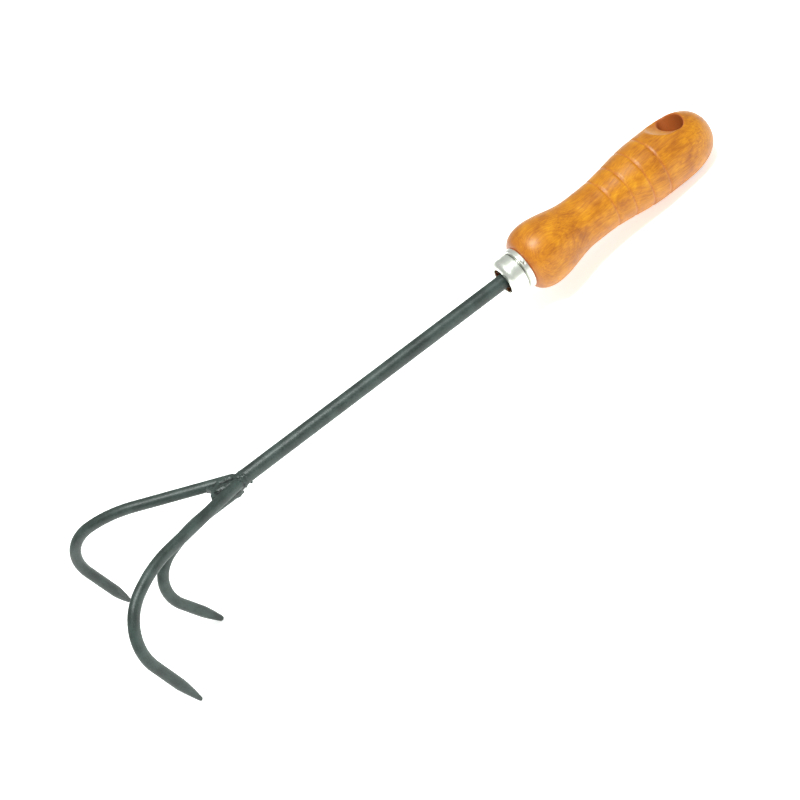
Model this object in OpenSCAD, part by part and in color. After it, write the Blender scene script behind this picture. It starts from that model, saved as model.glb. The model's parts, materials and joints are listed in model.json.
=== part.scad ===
// Hand rake: three hooked steel tines welded to a long round shaft, with a ferrule and a
// turned wooden handle. Lengths are in millimetres and angles in degrees. The tool lies at rest:
// +X points to the tines, +Z is up, the mid-plane is Y = 0 and the surface below it is Z = 0.
// The sub-parts are drawn first with the shaft on X and the weld at the origin.

/* [Shaft] */
// Diameter of the round shaft
shaft_d = 8; // [7:0.5:9]
// Bare shaft between the weld and the ferrule
shaft_len = 168; // [120:1:220]
// Length of shaft hidden in the handle, its point included
tang_len = 72; // [50:1:84]
// Length of the point on the hidden end
tang_point = 6; // [4:1:10]

/* [Ferrule] */
// Length of the ferrule
ferrule_len = 12.8; // [11:0.2:16]
// Outside diameter of its drum
drum_d = 21.5; // [21:0.5:23]
// Outside diameter of its rear collar
collar_d = 23.5; // [23:0.5:25]
// Length of the rear collar
collar_len = 3.4; // [2.6:0.2:4]
// Rounding of the front shoulder
shoulder_r = 3.6; // [3:0.2:4]
// Diameter of the hole in its front face
ferrule_hole_d = 14; // [12:0.5:15]
// Thickness of the pressed sheet
sheet_t = 1; // [0.8:0.1:1.2]

/* [Handle] */
// Length of the handle behind the ferrule
handle_len = 126.4; // [120:0.2:140]
// Angle by which the handle rises off the line of the shaft
lean = 1; // [0:0.1:1.5]
// Diameter of the front bulge
front_d = 36.2; // [32:0.2:38]
// Diameter of the waist
waist_d = 27.9; // [24:0.1:30]
// Diameter of the rear bulge
rear_d = 35.4; // [32:0.2:38]
// Diameter where the wood meets the ferrule
throat_d = 20; // [18:0.5:22]
// Distance from the ferrule to the middle of the front bulge
front_at = 11.9; // [10:0.1:14]
// Width of one turned groove
groove_w = 1.4; // [1:0.1:2]
// Depth of one turned groove
groove_deep = 0.7; // [0.4:0.1:1]
// Distance from the ferrule to the first groove
groove_at = 54.7; // [50:0.1:60]
// Distance from one groove to the next
groove_pitch = 10.9; // [9:0.1:12]
// Diameter of the hanging hole
hang_d = 13; // [8:0.5:14]
// Distance from the hanging hole to the rear end
hang_from_end = 18.6; // [18:0.2:26]
// Rounding of the mouths of the hanging hole
hang_round = 3.6; // [2:0.1:4]

/* [Outer tines] */
// Diameter of the tine rods
tine_d = 6; // [5.6:0.1:6.2]
// Angle between an outer tine and the mid-plane
splay = 25.4; // [24:0.2:28]
// Angle at which an outer tine climbs from the weld
climb = 9.1; // [8:0.1:10]
// Twist that turns the tip of an outer tine inwards
bank = 9.3; // [6:0.1:12]
// Straight run, from the point where its line starts
outer_run = 54; // [50:0.5:58]
// Radius of the wide bend
outer_wide_r = 62; // [56:1:70]
// Angle of the wide bend
outer_wide_a = 24.5; // [22:0.5:27]
// Radius of the tight bend
outer_tight_r = 25.7; // [23:0.1:28]
// Angle of the tight bend
outer_tight_a = 85.4; // [80:0.2:90]
// Length from the tight bend to the tip
outer_prong = 32.2; // [28:0.2:36]

/* [Centre tine] */
// Straight run
centre_run = 18; // [14:0.5:22]
// Radius of the wide bend
centre_wide_r = 66.5; // [60:0.5:72]
// Angle of the wide bend
centre_wide_a = 22.8; // [20:0.2:26]
// Radius of the tight bend
centre_tight_r = 20.9; // [18:0.1:24]
// Angle of the tight bend
centre_tight_a = 94.8; // [90:0.2:98]
// Length from the tight bend to the tip
centre_prong = 25.6; // [22:0.2:30]

/* [Points and weld] */
// Length over which a tine tapers to its point
point_len = 13; // [10:0.5:15]
// Diameter of the blunt end of a point
point_d = 2.4; // [2:0.1:3]
// Diameter of the weld bead around the end of the shaft
bead_d = 10.6; // [10:0.2:12]
// Distance from the end of the shaft to the front edge of the web
web_reach = 16; // [14:0.5:18]
// Thickness of the web between the outer tines
web_t = 4; // [3:0.2:5]

/* [Hidden] */
$fn = 96;

// Where the lines of the tines start, from the end of the shaft
outer_start = [0, 1.8, 0.5];
centre_start = [4, 0, -4];
// Cut off the start of an outer tine, so that the pair stays clear of each other
outer_cut = 2.5;

// How the handle's outline is divided, from the ferrule
waist_from = 39.6;
waist_to = 47.6;
rear_from = 87.6;
dome_from = 97.6;
front_power = 2.17;
dome_power = 2.6;
handle_front = -(shaft_len + ferrule_len);
groove_count = 4;
hang_x = handle_front - handle_len + hang_from_end;
// Depth of the mouths' rounded edges below the crest of the rear bulge
mouth_drop = 0.6;
// How far a cutter runs past the surface that it cuts
past = 1;

function ease(u) = (1 - cos(180 * u)) / 2;
function along(from, to, steps) = [for (i = [0 : steps]) from + (to - from) * i / steps];
function blend(a, b, ra, rb, z) = ra + (rb - ra) * ease((z - a) / (b - a));
function quarter(u, power) = pow(max(0, 1 - pow(u, power)), 1 / power);

// Outline of the handle's outside: [radius, distance behind the ferrule]
front_curve = [for (a = along(0, 90, 10))
    let (u = cos(a))
    [throat_d / 2 + (front_d - throat_d) / 2 * quarter(u, front_power), front_at * (1 - u)]];
neck_curve = [for (z = along(front_at, waist_from, 10))
    [blend(front_at, waist_from, front_d / 2, waist_d / 2, z), z]];
swell_curve = [for (z = along(waist_to, rear_from, 12))
    [blend(waist_to, rear_from, waist_d / 2, rear_d / 2, z), z]];
dome_curve = [for (a = along(0, 90, 14))
    let (u = sin(a))
    [rear_d / 2 * quarter(u, dome_power), dome_from + (handle_len - dome_from) * u]];
handle_side = concat(front_curve, neck_curve, swell_curve, dome_curve);

// Resting tilt: the rear of the handle and the point of the centre tine touch the surface
turn = centre_wide_a + centre_tight_a;
tip_x = centre_start[0] + centre_run + centre_wide_r * sin(centre_wide_a)
    + centre_tight_r * (sin(turn) - sin(centre_wide_a)) + centre_prong * cos(turn);
tip_z = centre_start[2] - centre_wide_r * (1 - cos(centre_wide_a))
    - centre_tight_r * (cos(centre_wide_a) - cos(turn)) - centre_prong * sin(turn);
function handle_low(t) = -shaft_len * sin(t) + min([for (p = handle_side)
    -(ferrule_len + p[1]) * sin(t - lean) - p[0] * cos(t - lean)]);
function tip_low(t) = tip_x * sin(t) + tip_z * cos(t) - point_d / 2 * abs(cos(turn - t));
function rest_angle(t, passes) = passes == 0 ? t
    : rest_angle(t + atan((handle_low(t) - tip_low(t)) / (tip_x - hang_x)), passes - 1);
rest_tilt = rest_angle(7, 8);
lift = -handle_low(rest_tilt);

// The tool's middle: half-way between the rear end and the furthest bend of the outer tines
bend_run = outer_run + outer_wide_r * sin(outer_wide_a) + outer_tight_r * (1 - sin(outer_wide_a));
bend_drop = outer_wide_r * (1 - cos(outer_wide_a)) + outer_tight_r * cos(outer_wide_a);
bend_x = bend_run * cos(splay) * cos(climb)
    + bend_drop * (cos(splay) * sin(climb) * cos(bank) - sin(splay) * sin(bank));
bend_z = outer_start[2] + bend_run * sin(climb) - bend_drop * cos(climb) * cos(bank);
laid_front = bend_x * cos(rest_tilt) - bend_z * sin(rest_tilt) + tine_d / 2;
laid_rear = -shaft_len * cos(rest_tilt) - (ferrule_len + handle_len) * cos(rest_tilt - lean);
middle_x = (laid_front + laid_rear) / 2;

module as_laid() {
    translate([-middle_x, 0, lift])
        rotate([0, -rest_tilt, 0])
            children();
}

// Turns the handle's parts off the line of the shaft, about the front of the ferrule
module leaned() {
    translate([-shaft_len, 0, 0])
        rotate([0, lean, 0])
            translate([shaft_len, 0, 0])
                children();
}

// A round bar from the origin along +X
module bar(d, length) {
    rotate([0, 90, 0])
        cylinder(d = d, h = length);
}

// A bend of a tine rod from the origin, heading along +X and turning down
module bend(radius, angle) {
    translate([0, 0, -radius])
        rotate([-90, -90, 0])
            rotate_extrude(angle = angle)
                translate([radius, 0])
                    circle(d = tine_d);
}

// Moves its children to the far end of a bend
module after_bend(radius, angle) {
    translate([radius * sin(angle), 0, -radius * (1 - cos(angle))])
        rotate([0, angle, 0])
            children();
}

// A hair-high band that makes one solid of two lengths of rod meeting at the origin
module seam() {
    band_len = 0.6;
    band_high = 0.01;
    translate([-band_len / 2, 0, 0])
        bar(tine_d + 2 * band_high, band_len);
}

// The forged point, from full rod to a blunt end
module point() {
    steps = 6;
    rotate([0, 90, 0])
        rotate_extrude()
            polygon(concat([[0, 0]],
                [for (u = along(0, 1, steps))
                    [tine_d / 2 - (tine_d - point_d) / 2 * pow(u, 1.6), point_len * u]],
                [[0, point_len]]));
}

// A whole tine: straight, wide bend, tight bend, straight, point
module tine_rod(cut, run, wide_r, wide_a, tight_r, tight_a, prong) {
    translate([cut, 0, 0])
        bar(tine_d, run - cut);
    translate([run, 0, 0]) {
        seam();
        bend(wide_r, wide_a);
        after_bend(wide_r, wide_a) {
            seam();
            bend(tight_r, tight_a);
            after_bend(tight_r, tight_a) {
                seam();
                bar(tine_d, prong - point_len);
                translate([prong - point_len, 0, 0]) {
                    seam();
                    point();
                }
            }
        }
    }
}

module outer_rod() {
    translate(outer_start)
        rotate([bank, -climb, splay])
            tine_rod(outer_cut, outer_run, outer_wide_r, outer_wide_a,
                outer_tight_r, outer_tight_a, outer_prong);
}

module centre_rod() {
    translate(centre_start)
        tine_rod(0, centre_run, centre_wide_r, centre_wide_a,
            centre_tight_r, centre_tight_a, centre_prong);
}

// The starts of the three rods and the end of the shaft, as the weld flows round them
module welded_ends() {
    reach = 30;
    for (side = [0, 1])
        mirror([0, side, 0])
            translate(outer_start)
                rotate([bank, -climb, splay])
                    translate([outer_cut, 0, 0])
                        bar(tine_d, reach);
    translate(centre_start)
        bar(tine_d, centre_run);
    translate([-reach, 0, 0])
        bar(shaft_d, reach);
}

// Turned hardwood, with a spigot for the ferrule, a hole for the tang and a hanging hole
module handle() {
    spigot_r = drum_d / 2 - sheet_t;
    collar_r = collar_d / 2 - sheet_t;
    step_z = sheet_t - collar_len;
    color("orange")
        as_laid()
            difference() {
                leaned()
                    translate([handle_front, 0, 0])
                        rotate([0, -90, 0])
                            rotate_extrude()
                                polygon(concat(
                                    [[0, shoulder_r - ferrule_len],
                                     [spigot_r, shoulder_r - ferrule_len],
                                     [spigot_r, step_z], [collar_r, step_z], [collar_r, 0]],
                                    [for (p = handle_side)
                                        if (p[0] > collar_r && p[1] < front_at) p],
                                    neck_curve, swell_curve, dome_curve));
                translate([-shaft_len - tang_len + tang_point, 0, 0])
                    bar(shaft_d, tang_len);
                translate([-shaft_len - tang_len, 0, 0])
                    rotate([0, 90, 0])
                        cylinder(d1 = shaft_d / 2, d2 = shaft_d, h = tang_point);
                leaned() {
                    grooves();
                    hanging_hole();
                }
            }
}

// Four narrow V cuts round the rear swell
module grooves() {
    half_w = groove_w / 2 * (groove_deep + past) / groove_deep;
    for (i = [0 : groove_count - 1]) {
        z = groove_at + groove_pitch * i;
        r = z < rear_from ? blend(waist_to, rear_from, waist_d / 2, rear_d / 2, z) : rear_d / 2;
        translate([handle_front - z, 0, 0])
            rotate([0, -90, 0])
                rotate_extrude()
                    polygon([[r - groove_deep, 0], [r + past, -half_w], [r + past, half_w]]);
    }
}

// The cross hole, its mouths rounded outwards
module hanging_hole() {
    mouth_z = rear_d / 2 - mouth_drop;
    half = rear_d / 2 + past;
    flare = [for (a = along(0, 90, 6))
        [hang_d / 2 + hang_round * (1 - cos(a)), mouth_z - hang_round * (1 - sin(a))]];
    translate([hang_x, 0, -half])
        cylinder(d = hang_d, h = 2 * half);
    for (side = [0, 1])
        mirror([0, 0, side])
            translate([hang_x, 0, 0])
                rotate_extrude()
                    polygon(concat([[0, mouth_z - hang_round]], flare,
                        [[hang_d / 2 + hang_round, half], [0, half]]));
}

// Pressed sheet cup with a rounded shoulder, a drum and a wider collar at the rear
module ferrule() {
    drum_r = drum_d / 2;
    collar_r = collar_d / 2;
    step_z = ferrule_len - collar_len;
    inner_step_z = step_z + sheet_t;
    inner_shoulder = shoulder_r - sheet_t;
    outside = [for (a = along(0, 90, 6))
        [drum_r - shoulder_r * (1 - sin(a)), shoulder_r * (1 - cos(a))]];
    inside = [for (a = along(90, 0, 6))
        [drum_r - sheet_t - inner_shoulder * (1 - sin(a)), sheet_t + inner_shoulder * (1 - cos(a))]];
    color("silver")
        as_laid()
            leaned()
                translate([-shaft_len, 0, 0])
                    rotate([0, -90, 0])
                        rotate_extrude()
                            polygon(concat([[ferrule_hole_d / 2, 0]], outside,
                                [[drum_r, step_z], [collar_r, step_z], [collar_r, ferrule_len],
                                 [collar_r - sheet_t, ferrule_len],
                                 [collar_r - sheet_t, inner_step_z],
                                 [drum_r - sheet_t, inner_step_z]],
                                inside, [[ferrule_hole_d / 2, sheet_t]]));
}

// Round bar with a pointed tang driven into the handle
module shaft() {
    color("darkslategray")
        as_laid() {
            translate([-shaft_len - tang_len + tang_point, 0, 0])
                bar(shaft_d, shaft_len + tang_len - tang_point);
            translate([-shaft_len - tang_len, 0, 0])
                rotate([0, 90, 0])
                    cylinder(d1 = shaft_d / 2, d2 = shaft_d, h = tang_point);
        }
}

module left_tine() {
    color("darkslategray")
        as_laid()
            outer_rod();
}

module right_tine() {
    color("darkslategray")
        as_laid()
            mirror([0, 1, 0])
                outer_rod();
}

module centre_tine() {
    color("darkslategray")
        as_laid()
            centre_rod();
}

// Outside of the bead round the end of the shaft, with a belly round the centre tine's start
module weld_lump() {
    back = -2.6;
    front = 6.4;
    root_r = shaft_d / 2 - 1;
    belly_r = 4.1;
    lens = [for (a = along(0, 180, 12))
        [root_r + (bead_d / 2 - root_r) * sin(a), back + (front - back) * (1 - cos(a)) / 2]];
    rotate([0, 90, 0])
        rotate_extrude()
            polygon(concat([[0, back]], lens, [[0, front]]));
    translate([2.9, 0, -3.2])
        sphere(r = belly_r);
}

// Weld bead that joins the shaft and the three rods
module shaft_weld() {
    color("dimgray")
        as_laid()
            difference() {
                weld_lump();
                welded_ends();
            }
}

// Web of weld metal between the outer tines, with a hollow front edge
module crotch_weld() {
    from = 5;
    half_from = 4;
    half_to = 8;
    beyond = 3;
    hollow_r = 5;
    color("dimgray")
        as_laid()
            difference() {
                translate([0, 0, outer_start[2] - 0.4])
                    rotate([0, -climb, 0])
                        translate([0, 0, -web_t / 2])
                            linear_extrude(web_t)
                                difference() {
                                    polygon([[from, -half_from], [web_reach + beyond, -half_to],
                                             [web_reach + beyond, half_to], [from, half_from]]);
                                    translate([web_reach + hollow_r, 0])
                                        circle(r = hollow_r);
                                }
                welded_ends();
                weld_lump();
            }
}

handle();
ferrule();
shaft();
left_tine();
right_tine();
centre_tine();
shaft_weld();
crotch_weld();
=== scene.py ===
import json
import math

import bmesh
import bpy
import numpy as np
from mathutils import Matrix, Vector


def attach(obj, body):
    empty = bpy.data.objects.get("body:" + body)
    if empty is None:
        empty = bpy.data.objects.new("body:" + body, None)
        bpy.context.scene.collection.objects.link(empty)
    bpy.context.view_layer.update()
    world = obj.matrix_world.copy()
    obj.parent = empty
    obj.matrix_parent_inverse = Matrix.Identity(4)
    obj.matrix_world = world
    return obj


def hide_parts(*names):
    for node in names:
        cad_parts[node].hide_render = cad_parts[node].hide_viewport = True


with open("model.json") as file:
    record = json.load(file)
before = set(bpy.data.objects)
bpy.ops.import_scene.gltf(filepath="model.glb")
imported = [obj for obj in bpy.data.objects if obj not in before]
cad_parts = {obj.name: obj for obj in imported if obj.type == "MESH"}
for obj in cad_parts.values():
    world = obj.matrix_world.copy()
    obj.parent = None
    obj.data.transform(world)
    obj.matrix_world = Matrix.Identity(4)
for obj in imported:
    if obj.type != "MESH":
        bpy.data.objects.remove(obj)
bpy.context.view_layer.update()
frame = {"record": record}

# ---------------------------------------------------------------------------------------------
# The shaft: a straight 8 mm steel bar, bright drawn, dipped in a satin grey-green coating with
# the whole head. Its rear end is driven into the handle, and its front end is buried in weld.
# The tool lies tilted at rest, so every piece is drawn with the shaft on X and the end of the
# shaft at the origin, in millimetres, and `laid` sets it down as the frame has it.
# ---------------------------------------------------------------------------------------------
MM = 0.001
shaft_r = 4.0
shaft_bare = 168.0
ferrule_len = 12.8
handle_len = 126.4
hang_from_end = 18.6
shaft_in_handle = 24.0
lean = math.radians(1.0)

hang = next(m for m in frame["record"]["mounts"] if m["name"] == "hanging_hole")
tilt = math.atan2(-hang["axis"][0], hang["axis"][2]) + lean
hang_back = ferrule_len + handle_len - hang_from_end
hang_spot = Vector((-shaft_bare - hang_back * math.cos(lean), 0, hang_back * math.sin(lean)))
laid = (
    Matrix.Translation(hang["pos_m"])
    @ Matrix.Rotation(-tilt, 4, "Y")
    @ Matrix.Translation(-hang_spot * MM)
    @ Matrix.Scale(MM, 4)
)


def colour(hex_code):
    """Linear colour of an sRGB hex code."""
    parts = [int(hex_code[i : i + 2], 16) / 255 for i in (1, 3, 5)]
    return [p / 12.92 if p <= 0.04045 else ((p + 0.055) / 1.055) ** 2.4 for p in parts] + [1.0]


def add(tree, kind, links=(), **settings):
    """Adds a node, sets its properties and inputs, and links the inputs given in `links`."""
    node = tree.nodes.new(kind)
    for name, value in settings.items():
        setattr(node, name, value)
    for socket, value in dict(links).items():
        if isinstance(value, bpy.types.NodeSocket):
            tree.links.new(value, node.inputs[socket])
        else:
            node.inputs[socket].default_value = value
    return node


def new_material(name, seat=laid):
    """An empty material, and the place of each point in the millimetres of its piece's drawing."""
    material = bpy.data.materials.new(name)
    material.use_nodes = True
    tree = material.node_tree
    tree.nodes.clear()
    where = add(tree, "ShaderNodeTexCoord").outputs["Object"]
    place = add(tree, "ShaderNodeMapping", {"Vector": where}, vector_type="TEXTURE")
    place.inputs["Location"].default_value = seat.translation
    place.inputs["Rotation"].default_value = (0, seat.to_euler().y, 0)
    place.inputs["Scale"].default_value = (MM, MM, MM)
    return material, tree, place.outputs["Vector"]


def finish_material(tree, shader):
    add(tree, "ShaderNodeOutputMaterial", {"Surface": shader.outputs[0]})


def ramp(tree, value, stops):
    """A colour ramp through (position, colour) stops."""
    node = add(tree, "ShaderNodeValToRGB", {"Fac": value})
    marks = node.color_ramp.elements
    while len(marks) < len(stops):
        marks.new(0.5)
    for mark, (position, shade) in zip(marks, stops):
        mark.position = position
        mark.color = shade
    return node.outputs["Color"]


def coated_steel(name, lump_mm, lump_high_mm, crease_shaded):
    """Dip coating on steel: satin, faintly mottled, with fine orange peel that breaks up the gloss.
    Over the weld, painted shade darkens its creases."""
    mottle_mm, peel_mm, peel_high_mm = 9, 0.55, 0.1
    material, tree, place = new_material(name)
    mottle = add(tree, "ShaderNodeTexNoise", {"Vector": place, "Scale": 1 / mottle_mm, "Detail": 3})
    grit = add(tree, "ShaderNodeTexNoise", {"Vector": place, "Scale": 1 / peel_mm, "Detail": 2})
    lumps = add(tree, "ShaderNodeTexNoise", {"Vector": place, "Scale": 1 / lump_mm, "Detail": 3})
    both = add(tree, "ShaderNodeMix", {
        "Factor": 0.35, "A": mottle.outputs["Fac"], "B": grit.outputs["Fac"]})
    base = ramp(tree, both.outputs["Result"], [
        (0.38, colour("#1a2320")), (0.50, colour("#25302c")), (0.62, colour("#333f3b"))])
    if crease_shaded:
        # Painted shade: the crease attribute mixes the weld's hollows and creases towards near black.
        deep = add(tree, "ShaderNodeAttribute", attribute_name="crease").outputs["Fac"]
        base = add(tree, "ShaderNodeMix", {"Factor": deep, "A": base, "B": colour("#0f1714")},
                   data_type="RGBA").outputs["Result"]
    rough = add(tree, "ShaderNodeMapRange", {
        "Value": grit.outputs["Fac"], "From Min": 0.3, "From Max": 0.7, "To Min": 0.38, "To Max": 0.50})
    peel = add(tree, "ShaderNodeBump", {
        "Height": grit.outputs["Fac"], "Strength": 0.7, "Distance": peel_high_mm * MM})
    relief = add(tree, "ShaderNodeBump", {
        "Height": lumps.outputs["Fac"], "Normal": peel.outputs["Normal"], "Strength": 1.0,
        "Distance": lump_high_mm * MM})
    finish_material(tree, add(tree, "ShaderNodeBsdfPrincipled", {
        "Base Color": base, "Roughness": rough.outputs["Result"], "Normal": relief.outputs["Normal"],
        "IOR": 1.48}))
    return material


coating = coated_steel("satin_dip_coating", 5.0, 0.12, False)


def rod_tree():
    """Geometry nodes that sweep a round section along a line, with the hand-worked unevenness.
    The noise is centred high, so that it thins the rod and leaves it inside its nominal size."""
    noise_centre = 0.8
    tree = bpy.data.node_groups.new("coated_rod", "GeometryNodeTree")
    face = tree.interface
    face.new_socket("Line", in_out="INPUT", socket_type="NodeSocketGeometry")
    for name in ("Sides", "Seed"):
        face.new_socket(name, in_out="INPUT", socket_type="NodeSocketInt")
    for name in ("Unevenness", "Grain"):
        face.new_socket(name, in_out="INPUT", socket_type="NodeSocketFloat")
    face.new_socket("Finish", in_out="INPUT", socket_type="NodeSocketMaterial")
    face.new_socket("Rod", in_out="OUTPUT", socket_type="NodeSocketGeometry")
    given = add(tree, "NodeGroupInput").outputs
    thick = add(tree, "GeometryNodeInputNamedAttribute", {"Name": "radius_m"}, data_type="FLOAT")
    line = add(tree, "GeometryNodeMeshToCurve", {"Mesh": given["Line"]})
    sized = add(tree, "GeometryNodeSetCurveRadius", {
        "Curve": line.outputs["Curve"], "Radius": thick.outputs["Attribute"]})
    section = add(tree, "GeometryNodeCurvePrimitiveCircle", {
        "Resolution": given["Sides"], "Radius": 1.0})
    swept = add(tree, "GeometryNodeCurveToMesh", {
        "Curve": sized.outputs["Curve"], "Profile Curve": section.outputs["Curve"],
        "Scale": thick.outputs["Attribute"], "Fill Caps": True})
    wave = add(tree, "ShaderNodeTexNoise", {
        "Scale": given["Grain"], "W": given["Seed"], "Detail": 1.0}, noise_dimensions="4D")
    centred = add(tree, "ShaderNodeMath", {
        0: wave.outputs["Fac"], 1: noise_centre}, operation="SUBTRACT")
    height = add(tree, "ShaderNodeMath", {
        0: centred.outputs[0], 1: given["Unevenness"]}, operation="MULTIPLY")
    outward = add(tree, "GeometryNodeInputNormal")
    push = add(tree, "ShaderNodeVectorMath", {
        0: outward.outputs["Normal"], "Scale": height.outputs[0]}, operation="SCALE")
    moved = add(tree, "GeometryNodeSetPosition", {
        "Geometry": swept.outputs["Mesh"], "Offset": push.outputs["Vector"]})
    smooth = add(tree, "GeometryNodeSetShadeSmooth", {
        "Geometry": moved.outputs["Geometry"], "Shade Smooth": True})
    real = add(tree, "GeometryNodeRealizeInstances", {"Geometry": smooth.outputs["Geometry"]})
    done = add(tree, "GeometryNodeSetMaterial", {
        "Geometry": real.outputs["Geometry"], "Material": given["Finish"]})
    add(tree, "NodeGroupOutput", {"Rod": done.outputs["Geometry"]})
    return tree


rod_nodes = rod_tree()
rod_sides = 40
uneven_mm, uneven_every_mm = 0.10, 7


def plain_object(name, mesh, material):
    """Puts a finished mesh in the scene, at the origin, with its one material."""
    piece = bpy.data.objects.new(name, mesh)
    bpy.context.scene.collection.objects.link(piece)
    mesh.materials.clear()
    mesh.materials.append(material)
    return piece


def sweep_rod(name, points, radii, seed, material):
    """A rod along `points`, in tool millimetres, with a radius at each point."""
    line = bpy.data.meshes.new(name + "_line")
    links = [(i, i + 1) for i in range(len(points) - 1)]
    line.from_pydata([laid @ Vector(p) for p in points], links, [])
    thick = line.attributes.new("radius_m", "FLOAT", "POINT")
    thick.data.foreach_set("value", [r * MM for r in radii])
    host = bpy.data.objects.new(name + "_line", line)
    bpy.context.scene.collection.objects.link(host)
    modifier = host.modifiers.new("rod", "NODES")
    modifier.node_group = rod_nodes
    inputs = {
        "Sides": rod_sides, "Seed": seed, "Unevenness": uneven_mm * MM,
        "Grain": 1 / (uneven_every_mm * MM), "Finish": material}
    for socket in rod_nodes.interface.items_tree:
        if socket.name in inputs:
            modifier[socket.identifier] = inputs[socket.name]
    made = host.evaluated_get(bpy.context.evaluated_depsgraph_get())
    mesh = bpy.data.meshes.new_from_object(made)
    mesh.name = name
    bpy.data.objects.remove(host)
    work = bmesh.new()
    work.from_mesh(mesh)
    bmesh.ops.recalc_face_normals(work, faces=work.faces)
    work.to_mesh(mesh)
    work.free()
    return plain_object(name, mesh, material)


def spaced(start, end, step):
    """Evenly spaced numbers from start to end, about `step` apart."""
    return np.linspace(start, end, max(2, round(abs(end - start) / step) + 1))


shaft_line = [(x, 0, 0) for x in spaced(-shaft_bare - shaft_in_handle, 0.6, 1.2)]
shaft_bar = sweep_rod("shaft_bar", shaft_line, [shaft_r] * len(shaft_line), 3, coating)
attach(shaft_bar, "root")
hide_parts("shaft")

# ---------------------------------------------------------------------------------------------
# The three tines: 6 mm steel rods, bent cold over formers and heated at their ends, where a
# hammer draws each out to a blunt, four-sided point. Their starts are buried in weld.
# ---------------------------------------------------------------------------------------------
rod_r = 3.0
rod_step = 1.0
fine_len, fine_step = 16, 0.4
flat_rise, flat_press = 0.9, 0.92


def bent_path(start, turn, run, wide_r, wide_a, tight_r, tight_a, prong, first):
    """Points, and distances from the tip, along a straight, two bends and a straight."""
    at = np.array([0.0, 0.0])
    heading = 0.0
    flat = [(first, 0.0)] + [(x, 0.0) for x in spaced(first, run, rod_step)[1:]]
    at[0] = run
    for radius, angle in ((wide_r, math.radians(wide_a)), (tight_r, math.radians(tight_a))):
        centre = at + radius * np.array([-math.sin(heading), math.cos(heading)])
        for a in spaced(heading, heading + angle, rod_step / radius)[1:]:
            flat.append(tuple(centre + radius * np.array([math.sin(a), -math.cos(a)])))
        at = np.array(flat[-1])
        heading += angle
    ahead = np.array([math.cos(heading), math.sin(heading)])
    coarse = spaced(0, prong - fine_len, rod_step)[1:]
    fine = spaced(prong - fine_len, prong, fine_step)[1:]
    for length in np.concatenate([coarse, fine]):
        flat.append(tuple(at + ahead * length))
    flat = np.array(flat)
    gaps = np.linalg.norm(np.diff(flat, axis=0), axis=1)
    to_tip = np.concatenate([np.cumsum(gaps[::-1])[::-1], [0.0]])
    points = [Vector(start) + turn @ Vector((x, 0, -drop)) for x, drop in flat]
    along = (turn @ Vector((ahead[0], 0, -ahead[1]))).normalized()
    inside = (turn @ Vector((-ahead[1], 0, -ahead[0]))).normalized()
    return points, to_tip, along, inside


def point_radius(gap, length, end_r):
    """Radius of a drawn-out point at a distance from its tip, rounded over the last bit."""
    if gap >= length:
        return rod_r
    body = rod_r - (rod_r - end_r) * (1 - gap / length) ** 1.5
    nose = math.sqrt(max(0.0, 1 - (1 - min(1.0, gap / end_r)) ** 2))
    return max(0.05, body * nose if gap < end_r else body)


def hammer_flats(piece, tip, along, inside, flats):
    """Presses flat faces on a point: each is (angle round the rod, length, half-width at the tip)."""
    back = laid.inverted()
    across = along.cross(inside)
    for vertex in piece.data.vertices:
        here = back @ vertex.co
        gap = (tip - here).dot(along)
        for angle, length, half in flats:
            if gap > length:
                continue
            way = inside * math.cos(math.radians(angle)) + across * math.sin(math.radians(angle))
            limit = half + (rod_r - half) * max(0.0, gap / length) ** flat_rise
            over = (here - tip).dot(way) - limit
            if over > 0:
                here = here - way * over * flat_press
        vertex.co = laid @ here


def tine(name, node, start, turn, shape, first, point_len, end_r, flats, seed):
    """One whole tine: swept, its point hammered, riding on the tool in place of its node."""
    points, to_tip, along, inside = bent_path(start, turn, *shape, first)
    radii = [point_radius(gap, point_len, end_r) for gap in to_tip]
    piece = sweep_rod(name, points, radii, seed, coating)
    hammer_flats(piece, points[-1], along, inside, flats)
    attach(piece, "root")
    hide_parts(node)


# A shape is its straight run, its wide bend's radius and angle, its tight bend's, and its prong.
outer_shape = (54.0, 62.0, 24.5, 25.7, 85.4, 32.2)
centre_shape = (18.0, 66.5, 22.8, 20.9, 94.8, 25.6)
splay, climb, bank = (math.radians(a) for a in (25.4, 9.1, 9.3))
left_start = Vector((0, 1.8, 0.5))
right_start = Vector((0, -1.8, 0.5))
centre_start = Vector((4, 0, -4))
left_turn, right_turn = (
    Matrix.Rotation(side * splay, 3, "Z")
    @ Matrix.Rotation(-climb, 3, "Y")
    @ Matrix.Rotation(side * bank, 3, "X")
    for side in (1, -1)
)
tine("left_tine_rod", "left_tine", left_start, left_turn, outer_shape, 2.5, 15.0, 1.15,
     [(8, 15, 0.75), (98, 13, 1.0), (185, 16, 0.85), (272, 12, 0.95)], 11)
tine("right_tine_rod", "right_tine", right_start, right_turn, outer_shape, 2.5, 12.0, 1.0,
     [(20, 14, 0.6), (85, 11, 0.9), (170, 9, 0.9), (262, 13, 0.7)], 12)
tine("centre_tine_rod", "centre_tine", centre_start, Matrix.Identity(3), centre_shape, 0.0, 14.0, 1.5,
     [(0, 13, 1.1), (90, 14, 1.3), (180, 15, 1.25), (270, 11, 1.35)], 13)

# ---------------------------------------------------------------------------------------------
# The weld: a bead run round the end of the shaft, and a filled web between the outer tines.
# It was laid by hand, so it is lumpy, and it was dipped with the rest of the head. Each surface
# is found as the place where a blended distance to rods and blobs of metal is zero.
# ---------------------------------------------------------------------------------------------


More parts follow.
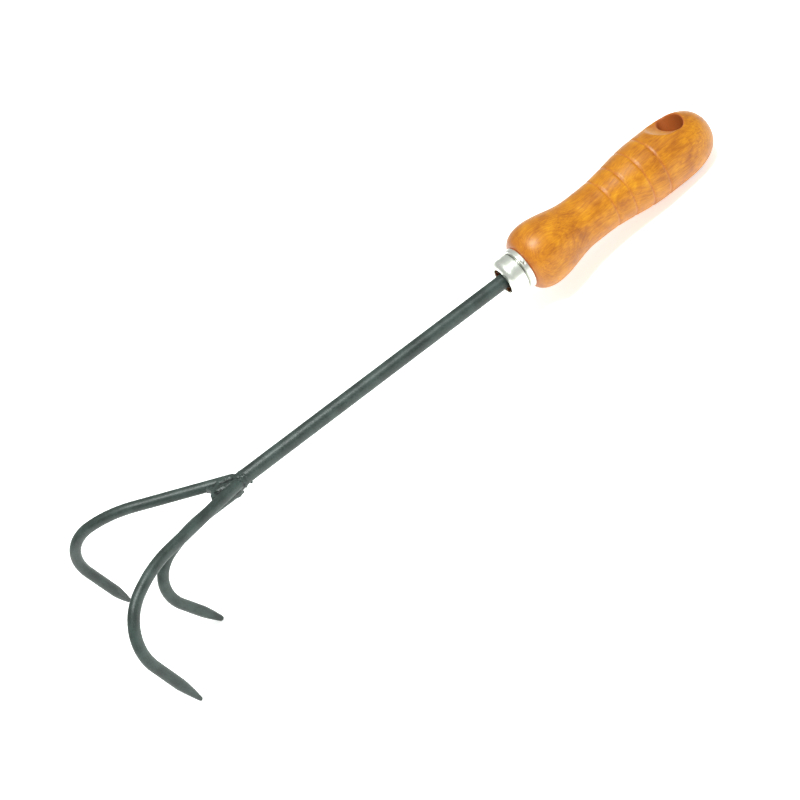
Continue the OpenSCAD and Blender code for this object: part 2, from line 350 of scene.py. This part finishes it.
def skin(field, low, high, step, passes=3):
    """Quads over the surface where `field` is zero: one vertex for each cell that it crosses."""
    low, high = np.array(low, float), np.array(high, float)
    counts = np.ceil((high - low) / step).astype(int) + 1
    ticks = [low[i] + step * np.arange(counts[i]) for i in range(3)]
    grid = np.stack(np.meshgrid(*ticks, indexing="ij"), -1)
    value = field(grid.reshape(-1, 3)).reshape(counts)
    cells = tuple(counts - 1)
    total, hits = np.zeros(cells + (3,)), np.zeros(cells)
    crossings = []
    for axis in range(3):
        first = [slice(None)] * 3
        second = [slice(None)] * 3
        first[axis], second[axis] = slice(0, -1), slice(1, None)
        a, b = value[tuple(first)], value[tuple(second)]
        crossed = (a < 0) != (b < 0)
        share = np.where(crossed, a / np.where(crossed, a - b, 1), 0)
        spot = grid[tuple(first)] + share[..., None] * step * np.eye(3)[axis]
        others = [i for i in range(3) if i != axis]
        for shift in ((0, 0), (0, 1), (1, 0), (1, 1)):
            part = [slice(None)] * 3
            for other, s in zip(others, shift):
                part[other] = slice(s, counts[other] - 1 + s)
            part = tuple(part)
            total += spot[part] * crossed[part][..., None]
            hits += crossed[part]
        crossings.append((axis, others, crossed, a < 0))
    used = hits > 0
    points = total[used] / hits[used][:, None]
    number = np.full(cells, -1)
    number[used] = np.arange(len(points))
    faces = []
    for axis, (p, q), crossed, starts_inside in crossings:
        at = np.argwhere(crossed)
        inner = (at[:, p] > 0) & (at[:, p] < counts[p] - 1)
        inner &= (at[:, q] > 0) & (at[:, q] < counts[q] - 1)
        at = at[inner]
        corners = []
        for dp, dq in ((1, 1), (0, 1), (0, 0), (1, 0)):
            cell = at.copy()
            cell[:, p] -= dp
            cell[:, q] -= dq
            corners.append(number[tuple(cell.T)])
        quad = np.stack(corners, 1)
        flip = starts_inside[tuple(at.T)] == (axis == 1)
        quad[flip] = quad[flip][:, ::-1]
        faces.append(quad)
    nudge = step * 0.05
    for _ in range(passes):
        rises = [field(points + nudge * e) - field(points - nudge * e) for e in np.eye(3)]
        slope = np.stack(rises, 1) / (2 * nudge)
        steepness = np.maximum((slope**2).sum(1), 0.2)
        points = points - slope * np.clip(field(points) / steepness, -step, step)[:, None]
    return points, np.concatenate(faces)


def skin_object(name, points, faces, material, seat=laid):
    """A piece made from points in tool millimetres and faces, smooth, with its faces outwards."""
    mesh = bpy.data.meshes.new(name)
    mesh.from_pydata([seat @ Vector(p) for p in points], [], faces.tolist())
    mesh.shade_smooth()
    work = bmesh.new()
    work.from_mesh(mesh)
    bmesh.ops.recalc_face_normals(work, faces=work.faces)
    work.to_mesh(mesh)
    work.free()
    return plain_object(name, mesh, material)


def rod_field(p, start, way, length):
    """Distance from the middle line of a rod."""
    start, way = np.array(start), np.array(way)
    reach = np.clip((p - start) @ way, 0, length)
    return np.linalg.norm(p - start - reach[:, None] * way, axis=1)


def melt(a, b, soft):
    """Smooth union of two distances, as molten metal fills the corner between them."""
    h = np.clip(0.5 + 0.5 * (b - a) / soft, 0, 1)
    return b * (1 - h) + a * h - soft * h * (1 - h)


def blob(p, centre, sizes):
    """About the distance from an ellipsoid."""
    q = (p - np.array(centre)) / np.array(sizes)
    k = np.linalg.norm(q, axis=1)
    return (k - 1) * min(sizes)


def ripple(p, seed, wave):
    """A cheap lumpy pattern from about -1 to 1, made of a few crossing waves."""
    rng = np.random.default_rng(seed)
    total = np.zeros(len(p))
    for _ in range(7):
        way = rng.normal(size=3)
        way *= 2 * math.pi / (np.linalg.norm(way) * wave * rng.uniform(0.7, 1.5))
        total += np.sin(p @ way + rng.uniform(0, 6.28))
    return total / 4


def mark(piece, name, values):
    """Stores a number for each point of a piece, for its material to read."""
    piece.data.attributes.new(name, "FLOAT", "POINT").data.foreach_set("value", values)


def mark_creases(piece, passes, full_mm, painted_shade):
    """Stores painted shade at each point, from 0 to 1, as `crease`: darker where the surface is hollow,
    plus the painted shade passed in as the last argument.
    """
    mesh = piece.data
    count = len(mesh.vertices)
    points, normals = np.empty(count * 3), np.empty(count * 3)
    mesh.vertices.foreach_get("co", points)
    mesh.vertices.foreach_get("normal", normals)
    points, normals = points.reshape(-1, 3), normals.reshape(-1, 3)
    ends = np.empty(len(mesh.edges) * 2, int)
    mesh.edges.foreach_get("vertices", ends)
    a, b = ends.reshape(-1, 2).T
    met = np.bincount(a, minlength=count) + np.bincount(b, minlength=count)
    smooth = points
    for _ in range(passes):
        total = np.zeros_like(smooth)
        np.add.at(total, a, smooth[b])
        np.add.at(total, b, smooth[a])
        smooth = total / met[:, None]
    # Painted shade: the hollower the surface, the darker.
    hollow = ((smooth - points) * normals).sum(1) / (full_mm * MM)
    mark(piece, "crease", np.clip(hollow + painted_shade, 0, 1))


def outer_rods(p, grow):
    """Distances from the left and the right rod, each made thicker by `grow`."""
    left, right = (
        rod_field(p, start, tuple(turn @ Vector((1, 0, 0))), 40) - rod_r - grow
        for start, turn in ((left_start, left_turn), (right_start, right_turn))
    )
    return left, right


def head_rods(p, grow):
    """Rods and shaft at the junction, each made thicker by `grow`."""
    left, right = outer_rods(p, grow)
    centre = rod_field(p, centre_start, (1, 0, 0), 30) - rod_r - grow
    bar = rod_field(p, (-30, 0, 0), (1, 0, 0), 29.5) - shaft_r - grow
    return melt(melt(melt(left, right, 2.0), centre, 2.2), bar, 1.6)


def past_crease(p):
    """How far ahead of the crease that runs round the shaft's end, wandering, a place is."""
    return p[:, 0] - 0.3 - 0.2 * p[:, 1] + 0.45 * ripple(p, 21, 5.0)


def shaft_bead(p):
    """Bead round the shaft's end with a crease after it, and a belly under the rods' starts."""
    off = np.linalg.norm((p - np.array((2.0, 0, -1.2))) / np.array((7.0, 7.4, 7.2)), axis=1)
    rods = head_rods(p, 0.3 - 0.95 * np.clip(off, 0, 1.6) ** 3)
    ring_r = np.hypot(p[:, 1], p[:, 2])
    ring = np.hypot((p[:, 0] + 2.1) / 1.6, ring_r - 3.3) - 0.9 - 0.12 * ripple(p, 22, 4.5)
    lumps = blob(p, (4.6, 0.4, -3.2), (4.6, 3.5, 3.7))
    lumps = melt(lumps, blob(p, (0.6, 0.8, -1.6), (3.0, 3.4, 3.6)), 1.0)
    lumps = melt(lumps, blob(p, (3.2, 2.7, 1.3), (3.2, 2.2, 2.5)), 1.0)
    lumps = melt(lumps, blob(p, (3.2, -2.7, 1.3), (3.2, 2.2, 2.5)), 1.0)
    body = melt(rods, lumps, 0.8)
    crease_half, crease_floor_r, crease_deep = 1.1, 3.75, 0.55
    crease = np.maximum(np.abs(past_crease(p)) - crease_half, crease_floor_r - ring_r)
    body = body + np.clip(-melt(-body, crease, 0.5) - body, 0, crease_deep)
    body = melt(body, ring, 0.35)
    nub = blob(p, (-3.9, 1.5, -3.8), (0.8, 0.7, 0.8))
    body = melt(body, nub, 0.5)
    body = body + 0.22 * ripple(p, 4, 3.4) + 0.09 * ripple(p, 5, 1.5)
    return np.maximum(body, (off - 1.25) * 6)


def crotch_web(p):
    """Filled web between the outer tines, hollow at its front edge, with a long bead on its left."""
    level = p[:, 2] - 0.6 - np.tan(climb) * p[:, 0]
    slab = np.abs(level) - 1.9
    front = 5.6 - np.hypot(p[:, 0] - 20.6, (p[:, 1] + 1.6) * 0.8)
    sides = np.abs(p[:, 1]) - (1.8 + 0.5 * p[:, 0])
    web = np.maximum(np.maximum(slab, front), sides)
    off = np.linalg.norm((p - np.array((8.8, 0, 1.4))) / np.array((8.6, 8.8, 6.0)), axis=1)
    rods = np.minimum(*outer_rods(p, 0)) + 0.5 * np.clip(off, 0, 1.6) ** 4 - 0.12
    body = melt(rods, web, 0.7)
    along = p[:, 0] - 8.4
    slanted = np.stack([p[:, 0], p[:, 1] + 0.09 * along, p[:, 2] - 0.16 * along], 1)
    long_bead = blob(slanted, (8.2, 3.1, 4.1), (5.4, 1.8, 1.6))
    short_bead = blob(p, (7.6, -3.9, 3.5), (3.4, 1.7, 1.2))
    pit = blob(p, (5.3, 2.6, 3.5), (0.9, 0.45, 0.7))
    body = melt(melt(body, long_bead, 0.2), short_bead, 0.6)
    body = np.maximum(body, -pit)
    body = body + 0.20 * ripple(p, 9, 3.6) + 0.09 * ripple(p, 10, 1.5)
    return np.maximum(body, (off - 1.15) * 6)


weld_coating = coated_steel("dip_coating_over_weld", 1.5, 0.16, True)
weld_cell = 0.32
bead_points, bead_faces = skin(shaft_bead, (-9, -10, -12), (12, 10, 9), weld_cell)
bead_piece = skin_object("shaft_weld_bead", bead_points, bead_faces, weld_coating)
# Painted shade: a dark band along the crease round the shaft's end, added to the shade in the hollows.
mark_creases(bead_piece, 24, 0.10, 0.9 * np.exp(-((past_crease(bead_points) / 1.2) ** 2)))
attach(bead_piece, "root")
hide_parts("shaft_weld")
web_points, web_faces = skin(crotch_web, (-2, -11, -6), (20, 11, 10), weld_cell)
web_piece = skin_object("crotch_weld_web", web_points, web_faces, weld_coating)
# Painted shade in the web's hollows only.
mark_creases(web_piece, 24, 0.12, 0.0)
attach(web_piece, "root")
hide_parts("crotch_weld")

# ---------------------------------------------------------------------------------------------
# The ferrule: a cup pressed from 1 mm steel strip and nickel plated. Its front is pierced wider
# than the shaft, its drum has a thin turned-in groove, and its rear collar is swaged outwards.
# It is pushed over the handle's spigot and held by punch marks on the collar. It leans one
# degree off the shaft's line with the handle, which `leaned` adds to `laid`.
# ---------------------------------------------------------------------------------------------
leaned = (
    laid @ Matrix.Translation((-shaft_bare, 0, 0)) @ Matrix.Rotation(lean, 4, "Y")
    @ Matrix.Translation((shaft_bare, 0, 0))
)
drum_r = 10.75
collar_r = 11.75
collar_len = 3.4
shoulder_r = 3.6
pierced_r = 7.0
sheet_t = 1.0
groove_z = ferrule_len - collar_len


def arc(centre, radius, start, end, steps):
    """Points on an arc, angles in degrees, as (radius, distance) pairs."""
    return [
        (centre[0] + radius * math.cos(math.radians(a)), centre[1] + radius * math.sin(math.radians(a)))
        for a in np.linspace(start, end, steps + 1)
    ]


def lathe(outline, sides):
    """Quads of a closed outline of (radius, distance behind the ferrule's front) turned round X."""
    count = len(outline)
    points, faces = [], []
    for i in range(sides):
        turn = 2 * math.pi * i / sides
        for r, z in outline:
            points.append((-shaft_bare - z, r * math.cos(turn), r * math.sin(turn)))
        for j in range(count):
            k = (j + 1) % count
            m = (i + 1) % sides
            faces.append((i * count + j, i * count + k, m * count + k, m * count + j))
    return np.array(points), np.array(faces)


lip = 0.3
hem_r = 0.4
cup_outline = (
    arc((pierced_r + lip, lip), lip, 180, 270, 4)
    + arc((drum_r - shoulder_r, shoulder_r), shoulder_r, -90, 0, 16)
    + [(drum_r, z) for z in spaced(shoulder_r + 0.6, groove_z - 1.0, 0.7)]
    + arc((drum_r, groove_z - 0.16), hem_r, -90, -180, 5)
    + arc((drum_r, groove_z - 0.04), hem_r, 180, 90, 5)
    + arc((collar_r - 0.45, groove_z + 0.85), 0.45, -60, 0, 4)
    + [(collar_r, z) for z in spaced(groove_z + 1.2, ferrule_len - 0.6, 0.5)]
    + arc((collar_r - 0.35, ferrule_len - 0.35), 0.35, 0, 90, 4)
    + [(collar_r - sheet_t, ferrule_len), (collar_r - sheet_t, groove_z + sheet_t)]
    + [(drum_r - sheet_t, groove_z + sheet_t)]
    + arc((drum_r - shoulder_r, shoulder_r), shoulder_r - sheet_t, 0, -90, 10)
    + arc((pierced_r + lip, sheet_t - lip), lip, 90, 180, 4)
)
cup_points, cup_faces = lathe(cup_outline, 160)


def dent(points, near, deep):
    """Sinks a small soft dent towards the axis of the tool, as deep as `near` says at each point."""
    fall = deep * near
    out = np.array(points)
    ring = np.hypot(out[:, 1], out[:, 2])
    out[:, 1] -= out[:, 1] / ring * fall
    out[:, 2] -= out[:, 2] / ring * fall
    return out


# Painted shade darkens the groove and the punch marks: (angle round, distance back, depth, darkness).
punch_marks = ((52, 11.3, 0.5, 0.9), (45, 10.6, 0.3, 0.6), (190, 10.9, 0.4, 0.7))
out_of_round = 0.003
# Painted shade along the turned-in groove.
painted_shade = 0.95 * np.exp(-(((-shaft_bare - cup_points[:, 0] - groove_z + 0.1) / 0.3) ** 2))
for angle, back, deep, black in punch_marks:
    a = math.radians(angle)
    spot = (-shaft_bare - back, collar_r * math.sin(a), collar_r * math.cos(a))
    off = np.linalg.norm((cup_points - np.array(spot)) / np.array((0.6, 1.0, 1.0)), axis=1)
    near = np.exp(-(off**2) * 2)
    cup_points = dent(cup_points, near, deep)
    painted_shade = np.maximum(painted_shade, black * near)
cup_points[:, 1:] *= 1 + out_of_round * np.sin(2 * np.arctan2(cup_points[:, 1:2], cup_points[:, 2:3]))

material, tree, place = new_material("nickel_plate", leaned)
# Bright nickel over drawn steel: a soft mirror with fine lines round it from polishing, and dull
# patches where the bath left the plate thin.
split = add(tree, "ShaderNodeSeparateXYZ", {"Vector": place})
angle_round = add(tree, "ShaderNodeMath", {
    0: split.outputs["Y"], 1: split.outputs["Z"]}, operation="ARCTAN2")
polish_at = add(tree, "ShaderNodeCombineXYZ", {
    "X": split.outputs["X"], "Y": angle_round.outputs[0], "Z": 0.0})
polish_scaled = add(tree, "ShaderNodeVectorMath", {
    0: polish_at.outputs[0], 1: (7.0, 0.8, 1.0)}, operation="MULTIPLY")
polish = add(tree, "ShaderNodeTexNoise", {"Vector": polish_scaled.outputs[0], "Scale": 1.0, "Detail": 4})
stains = add(tree, "ShaderNodeTexNoise", {"Vector": place, "Scale": 1 / 3.5, "Detail": 4})
plate_colour = ramp(tree, stains.outputs["Fac"], [
    (0.30, colour("#e4e6da")), (0.5, colour("#eff0e6")), (0.7, colour("#f5f5ee"))])
# Painted shade: the groove and the punch marks are mixed towards near black.
plate_shade = add(tree, "ShaderNodeAttribute", attribute_name="painted_shade").outputs["Fac"]
plate_colour = add(tree, "ShaderNodeMix", {
    "Factor": plate_shade, "A": plate_colour, "B": colour("#2c2c28")}, data_type="RGBA").outputs["Result"]
plate_rough = add(tree, "ShaderNodeMapRange", {
    "Value": stains.outputs["Fac"], "From Min": 0.3, "From Max": 0.7, "To Min": 0.36, "To Max": 0.26})
plate_bump = add(tree, "ShaderNodeBump", {
    "Height": polish.outputs["Fac"], "Strength": 0.25, "Distance": 0.06 * MM})
finish_material(tree, add(tree, "ShaderNodeBsdfPrincipled", {
    "Base Color": plate_colour, "Metallic": 1.0, "Roughness": plate_rough.outputs["Result"],
    "Normal": plate_bump.outputs["Normal"]}))
cup = skin_object("ferrule_cup", cup_points, cup_faces, material, leaned)
mark(cup, "painted_shade", painted_shade)
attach(cup, "root")
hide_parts("ferrule")

# ---------------------------------------------------------------------------------------------
# The handle: one piece of hardwood turned on a lathe, stained amber and lacquered. Four grooves
# are turned round its rear swell. A hanging hole is bored across it, each mouth a shallow dish.
# ---------------------------------------------------------------------------------------------
front_r, waist_r, rear_r, throat_r = 18.1, 13.95, 17.7, 10.0
front_at, waist_from, waist_to, rear_from, dome_from = 11.9, 39.6, 47.6, 87.6, 97.6
front_round, dome_round = 2.17, 2.6
spigot_r = drum_r - sheet_t
spigot_len = ferrule_len - shoulder_r
groove_at, groove_pitch, groove_count = 54.7, 10.9, 4
groove_deep, groove_half = 0.5, 0.8
bore_r, bore_ahead_scale = 6.5, 1.2
mouth_edge, mouth_deep, mouth_widening = 0.8, 9, 0.46
dish_r, dish_deep, dish_ahead, dish_steep = 10.0, 3.8, 3.6, 0.85
hang_x = -shaft_bare - hang_back


def ease(u):
    """Goes from 0 to 1, slow at both ends."""
    return (1 - np.cos(np.pi * u)) / 2


def groove_cut(z):
    """How deep the turned grooves go at a distance behind the ferrule."""
    cut = np.zeros_like(z)
    for i in range(groove_count):
        u = np.abs(z - groove_at - groove_pitch * i) / groove_half
        cut += groove_deep * np.exp(-(u**2) * 1.6)
    return cut


def turned_outline():
    """The handle's outline, from the axis at the spigot's face to the axis at the round end."""
    u = np.cos(np.linspace(0, np.pi / 2, 40))
    bulge = (1 - u**front_round) ** (1 / front_round)
    front = np.stack([throat_r + (front_r - throat_r) * bulge, front_at * (1 - u)], 1)
    z = spaced(front_at, waist_from, 0.5)[1:]
    narrowing = ease((z - front_at) / (waist_from - front_at))
    neck = np.stack([front_r + (waist_r - front_r) * narrowing, z], 1)
    z = spaced(waist_to, rear_from, 0.2)
    widening = ease((z - waist_to) / (rear_from - waist_to))
    swell = np.stack([waist_r + (rear_r - waist_r) * widening, z], 1)
    z = spaced(rear_from, dome_from, 0.2)[1:]
    crest = np.stack([np.full_like(z, rear_r), z], 1)
    u = np.sin(np.linspace(0, np.pi / 2, 90))[1:]
    bulge = (1 - u**dome_round) ** (1 / dome_round)
    dome = np.stack([rear_r * bulge, dome_from + (handle_len - dome_from) * u], 1)
    side = np.concatenate([front, neck, swell, crest, dome])
    side[:, 0] -= groove_cut(side[:, 1])
    spigot = np.array([(0, -spigot_len), (spigot_r, -spigot_len), (spigot_r, 0)])
    return np.concatenate([spigot, side])


class Turned:
    """Signed distance from the turned outline, kept in a fine table and read by interpolation."""

    step = 0.2
    margin = 3

    def __init__(self, outline):
        self.low = np.array([0.0, -spigot_len - self.margin])
        z = np.arange(self.low[1], handle_len + self.margin, self.step)
        r = np.arange(0, front_r + self.margin, self.step)
        grid = np.stack(np.meshgrid(r, z, indexing="ij"), -1).reshape(-1, 2)
        best = np.full(len(grid), 1e9)
        odd = np.zeros(len(grid), bool)
        for p, q in zip(outline[:-1], outline[1:]):
            way = q - p
            share = np.clip(((grid - p) @ way) / max(way @ way, 1e-12), 0, 1)
            best = np.minimum(best, np.hypot(*(grid - p - share[:, None] * way).T))
            across = (p[1] > grid[:, 1]) != (q[1] > grid[:, 1])
            if way[1] != 0:
                odd ^= across & (grid[:, 0] < p[0] + (grid[:, 1] - p[1]) / way[1] * way[0])
        self.table = np.where(odd, -best, best).reshape(len(r), len(z))

    def __call__(self, r, z):
        i = np.clip((r - self.low[0]) / self.step, 0, self.table.shape[0] - 1.001)
        j = np.clip((z - self.low[1]) / self.step, 0, self.table.shape[1] - 1.001)
        i0, j0 = i.astype(int), j.astype(int)
        u, v = i - i0, j - j0
        t = self.table
        return ((1 - u) * (1 - v) * t[i0, j0] + u * (1 - v) * t[i0 + 1, j0]
                + (1 - u) * v * t[i0, j0 + 1] + u * v * t[i0 + 1, j0 + 1])


turned = Turned(turned_outline())
handle_front = -shaft_bare - ferrule_len


def hole_cut(p, depth):
    """Distance inside the bore, which is flatter in front and whose mouths widen sideways."""
    near_mouth = np.clip(1 - depth / mouth_deep, 0, 1)
    along = p[:, 0] - hang_x
    along = np.where(along > 0, along * bore_ahead_scale, along)
    off = np.hypot(along, p[:, 1] / (1 + mouth_widening * near_mouth))
    return bore_r - off


def worn_cut(p, depth):
    """Distance inside the round dish that leads into each mouth, most of it ahead of the bore."""
    off = np.hypot(p[:, 0] - hang_x - dish_ahead, p[:, 1]) / dish_r
    return (dish_deep * (1 - off**2) - depth) * dish_steep


def handle_field(p):
    """The turned shape less the hanging hole, with the edge between them rounded."""
    outside = turned(np.hypot(p[:, 1], p[:, 2]), handle_front - p[:, 0])
    skin_now = -melt(-outside, -worn_cut(p, -outside), 0.7)
    bore = hole_cut(p, -outside)
    a, b = skin_now + mouth_edge, bore + mouth_edge
    rounded = np.hypot(np.maximum(a, 0), np.maximum(b, 0)) - mouth_edge
    return np.where((a > 0) & (b > 0), rounded, np.maximum(skin_now, bore))


wood_cell, pad = 0.5, 1.3
wood_points, wood_faces = skin(
    handle_field,
    (handle_front - handle_len - pad, -front_r - pad, -front_r - pad),
    (handle_front + spigot_len + pad, front_r + pad, front_r + pad),
    wood_cell,
)

material, tree, place = new_material("stained_lacquered_hardwood", leaned)
# A pale, close-grained hardwood such as beech or birch: growth layers show as soft darker lines
# that swirl where the lathe cut through them, short fibre flecks run along the handle, and the amber
# stain is uneven. The bore is darker, partly stain that soaks into its bare end grain and partly
# painted shade; the grooves and the wood at the ferrule are darkened with painted shade.
layer_mm, wander_mm, pith_mm, fibre_mm = 0.8, 3.2, 58.0, 0.45
facing = math.radians(66)
from_pith = add(tree, "ShaderNodeMapping", {"Vector": place})
from_pith.inputs["Location"].default_value = (0, pith_mm * math.sin(facing), pith_mm * math.cos(facing))
slow_at = add(tree, "ShaderNodeVectorMath", {
    0: place, 1: (1 / 34, 1 / 11, 1 / 11)}, operation="MULTIPLY")
slow = add(tree, "ShaderNodeTexNoise", {"Vector": slow_at.outputs[0], "Scale": 1.0, "Detail": 2})
flat_ring = add(tree, "ShaderNodeVectorMath", {
    0: from_pith.outputs[0], 1: (0, 1, 1)}, operation="MULTIPLY")
ring_d = add(tree, "ShaderNodeVectorMath", {0: flat_ring.outputs[0]}, operation="LENGTH")
bent = add(tree, "ShaderNodeMath", {
    0: slow.outputs["Fac"], 1: wander_mm, 2: ring_d.outputs["Value"]}, operation="MULTIPLY_ADD")
layer = add(tree, "ShaderNodeMath", {0: bent.outputs[0], 1: layer_mm}, operation="DIVIDE")
phase = add(tree, "ShaderNodeMath", {0: layer.outputs[0]}, operation="FRACT")
fibre_at = add(tree, "ShaderNodeVectorMath", {
    0: place, 1: (1 / 3.5, 1 / fibre_mm, 1 / fibre_mm)}, operation="MULTIPLY")
fibre = add(tree, "ShaderNodeTexNoise", {"Vector": fibre_at.outputs[0], "Scale": 1.0, "Detail": 3})
cloud = add(tree, "ShaderNodeTexNoise", {"Vector": place, "Scale": 1 / 9, "Detail": 4})
ring_tone = ramp(tree, phase.outputs[0], [
    (0.0, (0.47, 0.47, 0.47, 1)), (0.5, (0.57, 0.57, 0.57, 1)), (0.8, (0.50, 0.50, 0.50, 1)),
    (0.92, (0.33, 0.33, 0.33, 1)), (1.0, (0.47, 0.47, 0.47, 1))])
streak_at = add(tree, "ShaderNodeVectorMath", {
    0: place, 1: (1 / 6, 1 / 2.4, 1 / 2.4)}, operation="MULTIPLY")
streak = add(tree, "ShaderNodeTexNoise", {"Vector": streak_at.outputs[0], "Scale": 1.0, "Detail": 4})
blotch = add(tree, "ShaderNodeMix", {
    "Factor": 0.36, "A": cloud.outputs["Fac"], "B": streak.outputs["Fac"]})
tone = add(tree, "ShaderNodeMix", {"Factor": 0.66, "A": ring_tone, "B": blotch.outputs["Result"]})
flecked = add(tree, "ShaderNodeMix", {
    "Factor": 0.26, "A": tone.outputs["Result"], "B": fibre.outputs["Fac"]})
amber = ramp(tree, flecked.outputs["Result"], [
    (0.34, colour("#834203")), (0.44, colour("#9f5b03")),
    (0.54, colour("#b87305")), (0.66, colour("#ce9214"))])
# The bore's end grain takes stain and gets painted shade too; the grooves and the wood at the ferrule
# get painted shade; all mix towards one dark brown.
soak_and_shade = add(tree, "ShaderNodeAttribute", attribute_name="soak_and_shade").outputs["Fac"]
stain_and_shade_mix = add(tree, "ShaderNodeMix", {
    "Factor": soak_and_shade, "A": amber, "B": colour("#a85826")}, data_type="RGBA")
wood_rough = add(tree, "ShaderNodeMapRange", {
    "Value": fibre.outputs["Fac"], "From Min": 0.3, "From Max": 0.7, "To Min": 0.4, "To Max": 0.55})
wood_bump = add(tree, "ShaderNodeBump", {
    "Height": fibre.outputs["Fac"], "Strength": 0.5, "Distance": 0.12 * MM})
finish_material(tree, add(tree, "ShaderNodeBsdfPrincipled", {
    "Base Color": stain_and_shade_mix.outputs["Result"], "Roughness": wood_rough.outputs["Result"],
    "Normal": wood_bump.outputs["Normal"], "IOR": 1.26, "Coat Weight": 0.45, "Coat Roughness": 0.36}))
wood = skin_object("turned_handle", wood_points, wood_faces, material, leaned)
# How dark each point is mixed: stain that soaks into the bore's bare end grain, with painted shade there
# as well; painted shade in the grooves, on the spigot inside the ferrule and on the wood next to its
# collar; and a darker tone deeper in the dishes.
behind = handle_front - wood_points[:, 0]
wood_depth = -turned(np.hypot(wood_points[:, 1], wood_points[:, 2]), behind)
# Stain in the bore's end grain, with painted shade.
in_bore = np.clip((hole_cut(wood_points, wood_depth) + 0.55) / 0.4, 0, 1)
# Painted shade in the grooves.
in_groove = 0.5 * (groove_cut(behind) / groove_deep) ** 2
# Painted shade on the spigot inside the ferrule and on the wood next to its collar.
in_cup = np.where(behind < 0.4, 1.0, 0.5 * np.exp(-np.maximum(behind, 0) / 3.0))
# Darker where the dishes are deeper.
in_dish = 0.35 * np.clip(wood_depth - 0.3, 0, 1) * (behind > hang_back - 20)
soaked_and_shaded = np.clip(in_bore + in_groove + in_cup + in_dish, 0, 1)
mark(wood, "soak_and_shade", soaked_and_shaded)
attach(wood, "root")
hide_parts("handle")

# ---------------------------------------------------------------------------------------------
# The studio: a plain pale floor under soft light from above, and the camera, which looks down on
# the tool's left side and is rolled so that the handle points up to the right.
# ---------------------------------------------------------------------------------------------
floor_mesh = bpy.data.meshes.new("floor")
half = 4.0
corners = [(-half, -half, 0), (half, -half, 0), (half, half, 0), (-half, half, 0)]
floor_mesh.from_pydata(corners, [], [(0, 1, 2, 3)])
material = bpy.data.materials.new("pale_floor")
material.use_nodes = True
tree = material.node_tree
tree.nodes.clear()
where = add(tree, "ShaderNodeTexCoord").outputs["Object"]
paper = add(tree, "ShaderNodeTexNoise", {"Vector": where, "Scale": 3.0, "Detail": 2})
paper_colour = ramp(tree, paper.outputs["Fac"], [(0.3, colour("#f6f6f5")), (0.7, colour("#fbfbfa"))])
finish_material(tree, add(tree, "ShaderNodeBsdfPrincipled", {
    "Base Color": paper_colour, "Roughness": 0.9, "Emission Color": colour("#fbfdfb"),
    "Emission Strength": 0.6}))
floor = plain_object("floor", floor_mesh, material)

world = bpy.data.worlds.new("studio")
bpy.context.scene.world = world
world.use_nodes = True
tree = world.node_tree
tree.nodes.clear()
way = add(tree, "ShaderNodeTexCoord").outputs["Generated"]
look = add(tree, "ShaderNodeSeparateXYZ", {"Vector": way})
glow = add(tree, "ShaderNodeMapRange", {
    "Value": look.outputs["Z"], "From Min": 0.0, "From Max": 1.0, "To Min": 0.58, "To Max": 0.52})
sky = add(tree, "ShaderNodeBackground", {
    "Color": (0.96, 1.0, 0.98, 1), "Strength": glow.outputs["Result"]})
add(tree, "ShaderNodeOutputWorld", {"Surface": sky.outputs[0]})


def softbox(name, place, aim, size, power):
    """A rectangular lamp at `place`, turned towards `aim`."""
    light = bpy.data.lights.new(name, "AREA")
    light.shape = "RECTANGLE"
    light.size, light.size_y = size
    light.energy = power
    light.color = (0.94, 1.0, 0.98)
    lamp = bpy.data.objects.new(name, light)
    lamp.location = place
    lamp.rotation_euler = (Vector(aim) - Vector(place)).to_track_quat("-Z", "Y").to_euler()
    bpy.context.scene.collection.objects.link(lamp)


softbox("key", (0.02, 0.34, 1.15), (0, 0, 0.03), (0.6, 0.26), 18.0)
softbox("fill", (-0.1, -0.1, 1.3), (0, 0, 0), (1.8, 1.6), 1.0)

camera_data = bpy.data.cameras.new("camera")
camera_data.lens = 71.18
camera_data.sensor_width = 36
camera = bpy.data.objects.new("camera", camera_data)
camera.location = (0.1136, 0.6506, 0.4870)
aim = Vector((0.0205, 0.0, 0.0225))
roll = math.radians(-39.08)
camera.rotation_mode = "QUATERNION"
camera.rotation_quaternion = (
    (aim - camera.location).to_track_quat("-Z", "Y") @ Matrix.Rotation(roll, 3, "Z").to_quaternion()
)
bpy.context.scene.collection.objects.link(camera)
bpy.context.scene.camera = camera
bpy.context.scene.view_settings.view_transform = "Standard"
